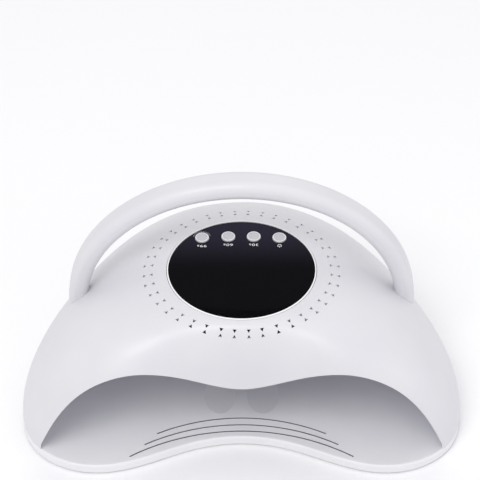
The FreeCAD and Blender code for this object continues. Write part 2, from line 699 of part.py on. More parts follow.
def dc_jack():
    """The round power inlet at the rear: a bore, and a narrower well behind it that holds the pin."""
    mouth, neck, back = 117.4, 111.6, 101.0
    barrel = Part.makeCylinder(5.0, mouth - neck + 0.5, V(0, neck - 0.5, JACK_Z), V(0, 1, 0))
    block = Part.makeBox(12.4, neck - back, 11.0, V(-6.2, back, JACK_Z - 5.5))
    step = mouth - JACK_BORE_LONG
    floor = step - JACK_WELL_LONG
    bore = Part.makeCylinder(JACK_BORE_R, JACK_BORE_LONG, V(0, step, JACK_Z), V(0, 1, 0))
    well = Part.makeCylinder(JACK_WELL_R, JACK_WELL_LONG + 0.5, V(0, floor, JACK_Z), V(0, 1, 0))
    pin = Part.makeCylinder(1.0, JACK_WELL_LONG - 0.4, V(0, floor - 0.5, JACK_Z), V(0, 1, 0))
    return barrel.fuse(block).cut(bore.fuse(well)).fuse(pin)


def power_lead():
    """The short inner lead from the inlet up to the control board, in the space above the liner."""
    stops = [V(0, 105, JACK_Z + 6.3)]
    for level in (0.32, 0.47, 0.62, 0.78, 0.90):
        point, normal, _ = on_dome(90, level)
        inner = point - normal * 9.0
        stops.append(V(0, inner.y, inner.z))
    stops.append(V(0, DISPLAY_Y + 47.8, BOARD_TOP - 0.8))
    shapes = []
    for start, end in zip(stops, stops[1:]):
        shapes.append(Part.makeCylinder(1.6, (end - start).Length, start, end - start))
    shapes += [Part.makeSphere(1.6, stop) for stop in stops[1:-1]]
    return fuse_all(shapes)


# ---------------------------------------------------------------- writing the files
def write(name, shape, lift=0.0):
    """Puts a shape at its height, centres the lamp on Y and writes its STEP file."""
    placed = move(shape, y=CENTRE_SHIFT, z=lift)
    placed.exportStep(os.path.join(OUT_DIR, name + ".step"))
    volume = sum(s.Volume for s in placed.Solids)
    print(f"{name:18s} solids {len(placed.Solids):3d} valid {placed.isValid()} volume {volume:10.1f}")


os.makedirs("parts", exist_ok=True)

BASE_PARTS = {
    "base_plate": base_plate, "base_cover": base_cover, "base_feet": base_feet,
    "cover_screws": cover_screws, "post_pins": post_pins, "post_screws": post_screws,
}
HOUSING_PARTS = {
    "outer_shell": outer_shell, "inner_liner": inner_liner, "bottom_ring": bottom_ring,
    "post_sleeves": post_sleeves, "docking_magnets": docking_magnets, "ring_screws": ring_screws,
    "liner_screws": liner_screws, "carry_handle": carry_handle, "handle_screws": handle_screws,
    "display_bezel": display_bezel, "display_window": display_window, "tact_switches": tact_switches,
    "display_module": display_module, "control_board": control_board, "board_spacers": board_spacers,
    "board_screws": board_screws, "led_board_top": led_board_top, "led_beads_top": led_beads_top,
    "led_beads_wall": led_beads_wall, "led_star_boards": led_star_boards, "hand_sensors": hand_sensors,
    "dc_jack": dc_jack, "power_lead": power_lead,
}
for part_name, make in BASE_PARTS.items():
    write(part_name, make())
for part_name, make in HOUSING_PARTS.items():
    write(part_name, make(), HOUSING_Z)
for button_name, button_x, button_y in button_spots():
    write(button_name, push_button(button_x, button_y), HOUSING_Z)
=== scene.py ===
"""A two-hand UV curing lamp: the finishes, printed marks and small fittings of its parts."""

import logging
import math
from dataclasses import dataclass, field
from enum import Enum
from typing import Any, Callable, ClassVar, Sequence

import bmesh
import bpy
from mathutils import Matrix, Vector


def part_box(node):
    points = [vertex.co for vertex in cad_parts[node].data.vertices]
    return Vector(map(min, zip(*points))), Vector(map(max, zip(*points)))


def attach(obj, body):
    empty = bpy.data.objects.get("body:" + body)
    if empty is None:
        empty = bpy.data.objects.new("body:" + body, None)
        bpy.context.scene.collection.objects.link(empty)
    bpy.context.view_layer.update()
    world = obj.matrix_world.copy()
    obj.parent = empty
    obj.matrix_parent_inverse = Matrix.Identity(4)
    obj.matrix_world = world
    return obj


LOG = logging.getLogger("lamp")
MM = 0.001
SAME_POINT = 1e-7
NOISE_ROUGHNESS = 0.55
NOISE_MIDDLE = (0.3, 0.7)
# The mix node's colour sockets share their names with others, so they go by number.
MIX_FACTOR, MIX_FIRST, MIX_SECOND, MIX_RESULT = 0, 6, 7, 2

Socket = bpy.types.NodeSocket

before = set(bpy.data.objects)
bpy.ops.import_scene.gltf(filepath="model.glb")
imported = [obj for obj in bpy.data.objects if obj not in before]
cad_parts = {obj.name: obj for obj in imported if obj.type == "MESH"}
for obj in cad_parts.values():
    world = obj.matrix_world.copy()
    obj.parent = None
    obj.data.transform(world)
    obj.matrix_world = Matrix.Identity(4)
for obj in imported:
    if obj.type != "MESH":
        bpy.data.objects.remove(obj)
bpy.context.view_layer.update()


# ------------------------------------------------------------------ shared helpers
class Body(Enum):
    """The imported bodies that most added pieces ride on."""

    BASE = "base"
    HOUSING = "housing"


def linear(hex_colour: str) -> tuple[float, float, float, float]:
    """Turn an sRGB hex colour into linear RGBA.

    Args:
        hex_colour: Six hex digits, such as "E9E8EE".

    Returns:
        The colour in linear light, with alpha 1.
    """
    channels = [int(hex_colour[i:i + 2], 16) / 255 for i in (0, 2, 4)]
    return (*[c / 12.92 if c <= 0.04045 else ((c + 0.055) / 1.055) ** 2.4 for c in channels], 1.0)


def add_node(
    tree: bpy.types.NodeTree,
    kind: str,
    inputs: dict[Any, Any] | None = None,
    links: dict[Any, Socket] | None = None,
    **settings: Any,
) -> bpy.types.Node:
    """Add one node with its settings, input values and incoming links.

    Args:
        tree: The tree that the node goes into.
        kind: The node's type name.
        inputs: Values by input name or index.
        links: Source sockets by input name or index.
        **settings: Properties set on the node itself.

    Returns:
        The new node.
    """
    node = tree.nodes.new(kind)
    for name, value in settings.items():
        setattr(node, name, value)
    for name, value in (inputs or {}).items():
        node.inputs[name].default_value = value
    for name, source in (links or {}).items():
        tree.links.new(source, node.inputs[name])
    return node


def linked_object(name: str, data: bpy.types.Mesh | bpy.types.Curve) -> bpy.types.Object:
    """Put a mesh or a text into the scene as an object at the origin.

    Args:
        name: The object's name.
        data: What the object shows.

    Returns:
        The new object.
    """
    piece = bpy.data.objects.new(name, data)
    bpy.context.scene.collection.objects.link(piece)
    return piece


def plain_mesh(maker: bpy.types.Object) -> bpy.types.Mesh:
    """Turn a text, or an object with a modifier, into a plain mesh and remove the object.

    Args:
        maker: The object to evaluate.

    Returns:
        Its evaluated mesh.
    """
    bpy.context.view_layer.update()
    depsgraph = bpy.context.evaluated_depsgraph_get()
    mesh = bpy.data.meshes.new_from_object(maker.evaluated_get(depsgraph), depsgraph=depsgraph)
    bpy.data.objects.remove(maker)
    return mesh


def mesh_from_bmesh(name: str, build: Callable[[bmesh.types.BMesh], None]) -> bpy.types.Object:
    """Make an object from a bmesh that a function fills.

    Args:
        name: The object's name.
        build: Fills the empty bmesh.

    Returns:
        The new object, its normals pointing outwards.
    """
    work = bmesh.new()
    build(work)
    bmesh.ops.remove_doubles(work, verts=work.verts, dist=SAME_POINT)
    bmesh.ops.recalc_face_normals(work, faces=work.faces)
    mesh = bpy.data.meshes.new(name)
    work.to_mesh(mesh)
    work.free()
    return linked_object(name, mesh)


def report(piece: bpy.types.Object) -> None:
    """Log a finished piece with its number of faces."""
    LOG.info("%s: %d faces", piece.name, len(piece.data.polygons))


# ------------------------------------------------------------------ geometry trees
class SocketKind(Enum):
    """The kinds of named input that a geometry tree can have."""

    LENGTH = "NodeSocketFloat"
    COUNT = "NodeSocketInt"
    POINT = "NodeSocketVector"


@dataclass
class GeometryRecipe:
    """A geometry-node tree with named inputs, turned into one plain mesh.

    Attributes:
        name: The tree's and the finished piece's name.
        inputs: Each input's name, kind and value.
        tree: The tree itself.
        source: The node that hands out the named inputs.
    """

    name: str
    inputs: dict[str, tuple[SocketKind, Any]]
    tree: bpy.types.NodeTree = field(init=False)
    source: bpy.types.Node = field(init=False)

    def __post_init__(self) -> None:
        """Make the empty tree with its interface."""
        self.tree = bpy.data.node_groups.new(self.name, "GeometryNodeTree")
        sockets = self.tree.interface
        sockets.new_socket("Geometry", in_out="INPUT", socket_type="NodeSocketGeometry")
        for label, (kind, _) in self.inputs.items():
            sockets.new_socket(label, in_out="INPUT", socket_type=kind.value)
        sockets.new_socket("Geometry", in_out="OUTPUT", socket_type="NodeSocketGeometry")
        self.source = self.tree.nodes.new("NodeGroupInput")

    def given(self, label: str) -> Socket:
        """The group input socket with this name."""
        return self.source.outputs[label]

    def finish(self, geometry: Socket, material: bpy.types.Material) -> bpy.types.Object:
        """Close the tree and turn its result into a plain mesh object.

        Args:
            geometry: The socket that carries the finished geometry.
            material: The material of every face.

        Returns:
            The finished object, with no modifier left.
        """
        real = add_node(self.tree, "GeometryNodeRealizeInstances", links={"Geometry": geometry})
        painted = add_node(
            self.tree,
            "GeometryNodeSetMaterial",
            {"Material": material},
            {"Geometry": real.outputs["Geometry"]},
        )
        add_node(self.tree, "NodeGroupOutput", links={"Geometry": painted.outputs["Geometry"]})
        maker = linked_object(self.name + "_maker", bpy.data.meshes.new(self.name + "_start"))
        modifier = maker.modifiers.new("recipe", "NODES")
        modifier.node_group = self.tree
        for item in self.tree.interface.items_tree:
            if item.in_out == "INPUT" and item.name in self.inputs:
                modifier[item.identifier] = self.inputs[item.name][1]
        mesh = plain_mesh(maker)
        mesh.name = self.name
        # Copies of a bare mesh bring an empty first slot, so the one material is put back alone.
        mesh.materials.clear()
        mesh.materials.append(material)
        mesh.polygons.foreach_set("material_index", [0] * len(mesh.polygons))
        return linked_object(self.name, mesh)


# ------------------------------------------------------------------ patterns
def noise(
    tree: bpy.types.NodeTree, feature_mm: float, detail: int, stretch: Sequence[float] = (1, 1, 1)
) -> Socket:
    """A noise pattern whose blotches measure about feature_mm on the object.

    Args:
        tree: The material's tree.
        feature_mm: The size of one blotch.
        detail: How many finer layers it has.
        stretch: Scale along each axis, to draw it out into grain.

    Returns:
        The noise value's socket.
    """
    where = add_node(tree, "ShaderNodeTexCoord")
    mapped = add_node(
        tree, "ShaderNodeMapping", {"Scale": tuple(stretch)}, {"Vector": where.outputs["Object"]}
    )
    pattern = add_node(
        tree,
        "ShaderNodeTexNoise",
        {"Scale": 1 / (feature_mm * MM), "Detail": detail, "Roughness": NOISE_ROUGHNESS},
        {"Vector": mapped.outputs["Vector"]},
    )
    return pattern.outputs["Fac"]


def spread(tree: bpy.types.NodeTree, value: Socket, low: float, high: float) -> Socket:
    """Map a noise value onto a range.

    Args:
        tree: The material's tree.
        value: The noise value.
        low: What its darker blotches become.
        high: What its lighter blotches become.

    Returns:
        The mapped value's socket.
    """
    least, most = NOISE_MIDDLE
    mapped = add_node(
        tree,
        "ShaderNodeMapRange",
        {"From Min": least, "From Max": most, "To Min": low, "To Max": high},
        {"Value": value},
        clamp=True,
    )
    return mapped.outputs["Result"]


def blend(tree: bpy.types.NodeTree, factor: Socket, first: str, second: str) -> Socket:
    """Mix two hex colours by a factor.

    Args:
        tree: The material's tree.
        factor: 0 gives the first colour and 1 the second.
        first: The first colour.
        second: The second colour.

    Returns:
        The mixed colour's socket.
    """
    mix = add_node(
        tree,
        "ShaderNodeMix",
        {MIX_FIRST: linear(first), MIX_SECOND: linear(second)},
        {MIX_FACTOR: factor},
        data_type="RGBA",
    )
    return mix.outputs[MIX_RESULT]


def tint(tree: bpy.types.NodeTree, value: Socket, first: str, second: str) -> Socket:
    """Mix two hex colours by a noise value."""
    return blend(tree, spread(tree, value, 0.0, 1.0), first, second)


@dataclass(frozen=True)
class Relief:
    """A fine relief in a surface, which bends the light but not the outline.

    Attributes:
        grain_mm: The size of one grain.
        depth_mm: How deep it is.
        strength: How strongly it bends the light.
        detail: How many finer layers it has.
        stretch: Scale along each axis, to draw the grains out into rings.
    """

    grain_mm: float
    depth_mm: float
    strength: float
    detail: int = 2
    stretch: tuple[float, float, float] = (1.0, 1.0, 1.0)

    def height(self, tree: bpy.types.NodeTree) -> Socket:
        """The relief's height as a noise value."""
        return noise(tree, self.grain_mm, self.detail, self.stretch)

    def normal(self, tree: bpy.types.NodeTree, height: Socket) -> Socket:
        """Turn a height into a surface normal.

        Args:
            tree: The material's tree.
            height: The height value.

        Returns:
            The normal's socket.
        """
        bent = add_node(
            tree,
            "ShaderNodeBump",
            {"Strength": self.strength, "Distance": self.depth_mm * MM},
            {"Height": height},
        )
        return bent.outputs["Normal"]


def surface(tree: bpy.types.NodeTree, inputs: dict[str, Any], links: dict[str, Socket]) -> None:
    """Close a tree with one principled surface.

    Args:
        tree: The material's tree.
        inputs: Even values by the shader's input name.
        links: Patterned values by the shader's input name.
    """
    shader = add_node(tree, "ShaderNodeBsdfPrincipled", inputs, links)
    add_node(tree, "ShaderNodeOutputMaterial", links={"Surface": shader.outputs["BSDF"]})


# ------------------------------------------------------------------ finishes
class Finish:
    """Base of every finish: makes its material once and hands it out.

    Attributes:
        name: The material's name.
    """

    name: str
    _made: ClassVar[dict[str, bpy.types.Material]] = {}

    def material(self) -> bpy.types.Material:
        """The finish's material, made on first use.

        Returns:
            The one material of this name.
        """
        if self.name not in Finish._made:
            made = bpy.data.materials.new(self.name)
            made.use_nodes = True
            made.node_tree.nodes.clear()
            self.build(made.node_tree)
            Finish._made[self.name] = made
        return Finish._made[self.name]

    def build(self, tree: bpy.types.NodeTree) -> None:
        """Fill the material's tree."""
        raise NotImplementedError


@dataclass(frozen=True)
class MouldedPlastic(Finish):
    """Injection-moulded plastic: an even colour, soft gloss and the faint ripple of a steel mould.

    Attributes:
        name: The material's name.
        light: The body colour.
        dark: The same colour where the pigment runs a little thicker.
        roughness: The middle of the gloss range.
        coat: The strength of the clear-looking top sheen.
        texture: The mould's texture, drawn as coarse as it needs to show.
        drift_mm: How wide the pigment's lighter and darker areas are.
        gloss_mm: How wide the glossier and duller areas are.
        gloss_swing: How far the roughness strays from its middle.
        coat_roughness: The roughness of the top sheen.
        ior: The index of refraction of ABS.
    """

    name: str
    light: str
    dark: str
    roughness: float = 0.34
    coat: float = 0.06
    texture: Relief = Relief(0.55, depth_mm=0.012, strength=0.35, detail=3)
    drift_mm: float = 45.0
    gloss_mm: float = 9.0
    gloss_swing: float = 0.035
    coat_roughness: float = 0.18
    ior: float = 1.53

    def build(self, tree: bpy.types.NodeTree) -> None:
        """Pigment drift over centimetres, gloss drift over millimetres, and a fine mould texture.

        Args:
            tree: The material's tree.
        """
        duller = noise(tree, self.gloss_mm, detail=4)
        low, high = self.roughness - self.gloss_swing, self.roughness + self.gloss_swing
        colour = tint(tree, noise(tree, self.drift_mm, detail=2), self.light, self.dark)
        surface(
            tree,
            {"IOR": self.ior, "Coat Weight": self.coat, "Coat Roughness": self.coat_roughness},
            {
                "Base Color": colour,
                "Roughness": spread(tree, duller, low, high),
                "Normal": self.texture.normal(tree, self.texture.height(tree)),
            },
        )


@dataclass(frozen=True)
class SmokedAcrylic(Finish):
    """Back-printed acrylic sheet: near black and polished, lighter and blue-grey towards the rear
    edge.

    Attributes:
        name: The material's name.
        deep: The colour over most of the sheet.
        thin: The colour at the rear edge.
        start_mm: Where along Y the colour starts to lighten.
        end_mm: Where it has reached the rear edge's colour.
        polish: The roughness where the polish is best and worst.
        polish_mm: How wide those areas are.
        waves: The slight waviness of cast sheet.
        specular: The strength of its plain reflection, low because the smoke soaks it up.
        ior: The index of refraction of acrylic.
    """

    name: str = "smoked_acrylic_polished"
    deep: str = "060508"
    thin: str = "2C2A38"
    start_mm: float = -22.0
    end_mm: float = 27.0
    polish: tuple[float, float] = (0.06, 0.12)
    polish_mm: float = 6.0
    waves: Relief = Relief(22.0, depth_mm=0.02, strength=0.10, detail=1)
    specular: float = 0.05
    ior: float = 1.49

    def build(self, tree: bpy.types.NodeTree) -> None:
        """A dark body under a hard polished surface.

        Args:
            tree: The material's tree.
        """
        where = add_node(tree, "ShaderNodeTexCoord")
        axes = add_node(
            tree, "ShaderNodeSeparateXYZ", links={"Vector": where.outputs["Object"]}
        )
        ramp = add_node(
            tree,
            "ShaderNodeMapRange",
            {"From Min": self.start_mm * MM, "From Max": self.end_mm * MM},
            {"Value": axes.outputs["Y"]},
            interpolation_type="SMOOTHSTEP",
        )
        colour = blend(tree, ramp.outputs["Result"], self.deep, self.thin)
        surface(
            tree,
            {"IOR": self.ior, "Specular IOR Level": self.specular},
            {
                "Base Color": colour,
                "Roughness": spread(tree, noise(tree, self.polish_mm, detail=3), *self.polish),
                "Normal": self.waves.normal(tree, self.waves.height(tree)),
            },
        )


@dataclass(frozen=True)
class TurnedSteel(Finish):
    """Lathe-turned metal: fine rings along the axis of turning, bright on their crests.

    Attributes:
        name: The material's name.
        light: The clean metal.
        dark: The lightly stained metal.
        roughness: The middle of the gloss range.
        polished: How much smoother the crests of the rings are.
        dulled: How much rougher their valleys are.
        rings: The rings, drawn out round the axis of turning.
        stain_mm: The size of a stain.
    """

    name: str
    light: str = "C4C4C8"
    dark: str = "86868C"
    roughness: float = 0.27
    polished: float = 0.08
    dulled: float = 0.10
    rings: Relief = Relief(0.35, 0.02, 0.4, detail=3, stretch=(0.05, 0.05, 1.0))
    stain_mm: float = 3.0

    def build(self, tree: bpy.types.NodeTree) -> None:
        """Rings stacked along Z, with a little stain.

        Args:
            tree: The material's tree.
        """
        grain = self.rings.height(tree)
        low, high = self.roughness - self.polished, self.roughness + self.dulled
        colour = tint(tree, noise(tree, self.stain_mm, detail=3), self.light, self.dark)
        surface(
            tree,
            {"Metallic": 1.0},
            {
                "Base Color": colour,
                "Roughness": spread(tree, grain, low, high),
                "Normal": self.rings.normal(tree, grain),
            },
        )


@dataclass(frozen=True)
class MouldedRubber(Finish):
    """Moulded rubber or soft PVC: dull, with a fine pebbled skin and dusty high spots.

    Attributes:
        name: The material's name.
        light: The dusty high spots.
        dark: The clean rubber.
        dust_mm: The size of a dusty spot.
        skin: The pebbled skin. The real one is a quarter of a millimetre and is drawn coarser.
        roughness: How dull it is.
        ior: The index of refraction of rubber.
    """

    name: str
    light: str = "34343A"
    dark: str = "1E1E22"
    dust_mm: float = 2.5
    skin: Relief = Relief(0.6, depth_mm=0.05, strength=0.6)
    roughness: float = 0.78
    ior: float = 1.52

    def build(self, tree: bpy.types.NodeTree) -> None:
        """Dust over a pebbled skin.

        Args:
            tree: The material's tree.
        """
        colour = tint(tree, noise(tree, self.dust_mm, detail=4), self.light, self.dark)
        surface(
            tree,
            {"Roughness": self.roughness, "IOR": self.ior},
            {
                "Base Color": colour,
                "Normal": self.skin.normal(tree, self.skin.height(tree)),
            },
        )


@dataclass(frozen=True)
class CircuitBoard(Finish):
    """Solder-masked laminate: a glossy lacquer over copper lines that show as lighter bands.

    Attributes:
        name: The material's name.
        mask: The lacquer over bare laminate.
        track: The lacquer over copper.
        tracks: The copper's relief. Its grain is the pitch of the lines.
        waver: How much the lines stray.
        roughness: How dull the lacquer is.
        ior: The index of refraction of the lacquer.
    """

    name: str
    mask: str = "0E4A2A"
    track: str = "1B6B3E"
    tracks: Relief = Relief(2.2, depth_mm=0.03, strength=0.5)
    waver: float = 1.5
    roughness: float = 0.25
    ior: float = 1.5

    def build(self, tree: bpy.types.NodeTree) -> None:
        """Nearly straight copper bands under the lacquer.

        Args:
            tree: The material's tree.
        """
        where = add_node(tree, "ShaderNodeTexCoord")
        lines_per_metre = 1 / (self.tracks.grain_mm * MM)
        bands = add_node(
            tree,
            "ShaderNodeTexWave",
            {"Scale": lines_per_metre / (2 * math.pi), "Distortion": self.waver, "Detail": 1.0},
            {"Vector": where.outputs["Object"]},
        )
        copper = bands.outputs["Fac"]
        colour = tint(tree, copper, self.mask, self.track)
        surface(
            tree,
            {"Roughness": self.roughness, "IOR": self.ior},
            {
                "Base Color": colour,
                "Normal": self.tracks.normal(tree, copper),
            },
        )


@dataclass(frozen=True)
class SiliconeLens(Finish):
    """A clear silicone dome over a violet-tinted light chip: glossy, slightly milky and unlit.

    Attributes:
        name: The material's name.
        clear: The dome's own colour.
        glow: The chip's tint where it shows through.
        cloud_mm: The size of a milky cloud.
        skin: The moulded skin's unevenness.
        see_through: How much light passes through it.
        coat: The strength and roughness of the wet-looking top.
        roughness: How dull the dome is.
        ior: The index of refraction of silicone.
    """

    name: str = "bead_lens_silicone"
    clear: str = "EDEBF6"
    glow: str = "C9C2EA"
    cloud_mm: float = 1.6
    skin: Relief = Relief(1.2, depth_mm=0.01, strength=0.3)
    see_through: float = 0.35
    coat: tuple[float, float] = (0.4, 0.05)
    roughness: float = 0.12
    ior: float = 1.43

    def build(self, tree: bpy.types.NodeTree) -> None:
        """A milky dome with part of the light passing through it.

        Args:
            tree: The material's tree.
        """
        weight, coat_roughness = self.coat
        colour = tint(tree, noise(tree, self.cloud_mm, detail=2), self.clear, self.glow)
        surface(
            tree,
            {
                "Roughness": self.roughness,
                "IOR": self.ior,
                "Transmission Weight": self.see_through,
                "Coat Weight": weight,
                "Coat Roughness": coat_roughness,
            },
            {
                "Base Color": colour,
                "Normal": self.skin.normal(tree, self.skin.height(tree)),
            },
        )


@dataclass(frozen=True)
class FlatCoat(Finish):
    """A thin coat of printed ink or rolled paint: matt, with pinholes at the screen's pitch.

    Attributes:
        name: The material's name.
        solid: The colour where it covers well.
        thin: The colour where it covers less.
        patch_mm: The size of a thinner patch.
        pinholes: The relief of the threads or the roller.
        roughness: How dull it is.
        ior: The index of refraction of the binder.
    """

    name: str
    solid: str
    thin: str
    patch_mm: float = 0.4
    pinholes: Relief = Relief(0.3, depth_mm=0.01, strength=0.3)
    roughness: float = 0.45
    ior: float = 1.5

    def build(self, tree: bpy.types.NodeTree) -> None:
        """A coat whose cover varies a little.

        Args:
            tree: The material's tree.
        """
        colour = tint(tree, noise(tree, self.patch_mm, detail=2), self.solid, self.thin)
        surface(
            tree,
            {"Roughness": self.roughness, "IOR": self.ior},
            {
                "Base Color": colour,
                "Normal": self.pinholes.normal(tree, self.pinholes.height(tree)),
            },
        )


# Moulded ABS, satin: a wide, soft highlight on a cool white.
WHITE_ABS = MouldedPlastic("white_abs_moulded", "DEDDE1", "DAD9DE", roughness=0.42)
# Moulded ABS without sheen: the plate looks flat. It is the housing's white plastic painted a
# little whiter, painted light that makes up for the shade the hovering housing throws on it.
PLATE_ABS_PAINTED_LIGHT = MouldedPlastic("plate_abs_painted_light", "EFEFF1", "EBEBEE", roughness=0.42, coat=0.0)
# Moulded ABS painted pale grey: painted shade for the shade inside the hood.
LINER_PAINTED_SHADE = MouldedPlastic("liner_painted_shade", "C6C4D0", "BFBDCA", roughness=0.36)
# Polished ABS painted the whitest of all: a painted highlight, the thin bright line round the
# window. Its gloss is real.
BEZEL_PAINTED_HIGHLIGHT = MouldedPlastic(
    "bezel_painted_highlight",
    "FAFAFB",
    "F6F6F8",
    roughness=0.22,
    texture=Relief(1.5, depth_mm=0.012, strength=0.35, detail=3),
)
# Moulded ABS, light grey: the keys stand out from the dark window without a glare.
KEY_ABS = MouldedPlastic("key_abs_satin", "C9C9CE", "C2C2C8", roughness=0.34)
# Moulded nylon: black and dull, so the sleeves, switches and inlet swallow light.
BLACK_NYLON = MouldedPlastic("black_nylon_moulded", "1D1D20", "141416", roughness=0.5)
# White lacquer on an aluminium-core board: bright, even and slightly glossy.
WHITE_BOARD = MouldedPlastic("white_board_lacquer", "E4E4E6", "DCDCE0", roughness=0.3)
# Solder mask on laminate: dark green with lighter copper lines.
GREEN_BOARD = CircuitBoard("control_board_lacquer")
# Turned stainless steel: bright rings catch the light down each pin.
PIN_STEEL = TurnedSteel("pin_steel_turned")
# Zinc-plated steel: duller and bluer than the pins.
SCREW_STEEL = TurnedSteel("screw_steel_zinc", "A9ABB0", "7C7E84", roughness=0.33)
# Nickel plating: warm and nearly a mirror, with hardly any grain.
MAGNET_NICKEL = TurnedSteel(
    "magnet_nickel_plated",
    "C9C6BE",
    "A9A69E",
    roughness=0.18,
    rings=Relief(1.5, 0.02, 0.4, detail=3, stretch=(0.05, 0.05, 1.0)),
)
# Cast acrylic, polished: nearly black, with a soft blue-grey rear edge.
SMOKED_WINDOW = SmokedAcrylic()
# Moulded silicone: a milky, wet-looking dome with a violet tint.
BEAD_LENS = SiliconeLens()
# Moulded rubber: dull charcoal.
FOOT_RUBBER = MouldedRubber("foot_rubber")
# Dark grey rubber finish for the strips in the plate's grooves: painted shade, thin dark lines
# that stand in for the shade deep in each groove.
GROOVE_PAINTED_SHADE = MouldedRubber("groove_painted_shade", "4E4E55", "404047")
# Extruded PVC: black and dull.
LEAD_SHEATH = MouldedRubber("lead_sheath_pvc", "1C1C20", "121215")
# Screen-printed ink: flat white. It also makes the painted highlight ring on each key's cap.
WHITE_INK_AND_HIGHLIGHT = FlatCoat("white_ink_and_highlight", "FBFBFC", "EDEDF2")
# Rolled matt paint: an even, pale floor.
FLOOR_PAINT = FlatCoat("floor_paint", "FBFBFC", "F8F8FA")

NODE_FINISHES: dict[str, Finish] = {
    "base_plate": PLATE_ABS_PAINTED_LIGHT,
    "base_cover": PLATE_ABS_PAINTED_LIGHT,
    "base_feet": FOOT_RUBBER,
    "cover_screws": SCREW_STEEL,
    "post_pins": PIN_STEEL,
    "post_screws": SCREW_STEEL,
    "outer_shell": WHITE_ABS,
    "inner_liner": LINER_PAINTED_SHADE,
    "bottom_ring": WHITE_ABS,
    "post_sleeves": BLACK_NYLON,
    "docking_magnets": MAGNET_NICKEL,
    "ring_screws": SCREW_STEEL,
    "liner_screws": SCREW_STEEL,
    "carry_handle": WHITE_ABS,
    "handle_screws": SCREW_STEEL,
    "display_bezel": BEZEL_PAINTED_HIGHLIGHT,
    "display_window": SMOKED_WINDOW,
    "tact_switches": BLACK_NYLON,
    "display_module": BLACK_NYLON,
    "control_board": GREEN_BOARD,
    "board_spacers": BLACK_NYLON,
    "board_screws": SCREW_STEEL,
    "led_board_top": WHITE_BOARD,
    "led_beads_top": BEAD_LENS,
    "led_beads_wall": BEAD_LENS,
    "led_star_boards": WHITE_BOARD,
    "hand_sensors": BLACK_NYLON,
    "dc_jack": BLACK_NYLON,
    "power_lead": LEAD_SHEATH,
    "button_high": KEY_ABS,
    "button_middle": KEY_ABS,
    "button_low": KEY_ABS,
    "button_power": KEY_ABS,
}


def dress_cad_nodes() -> None:
    """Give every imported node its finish."""
    for name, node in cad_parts.items():
        node.data.materials.clear()
        node.data.materials.append(NODE_FINISHES[name].material())
        LOG.info("%s: %s", name, NODE_FINISHES[name].name)
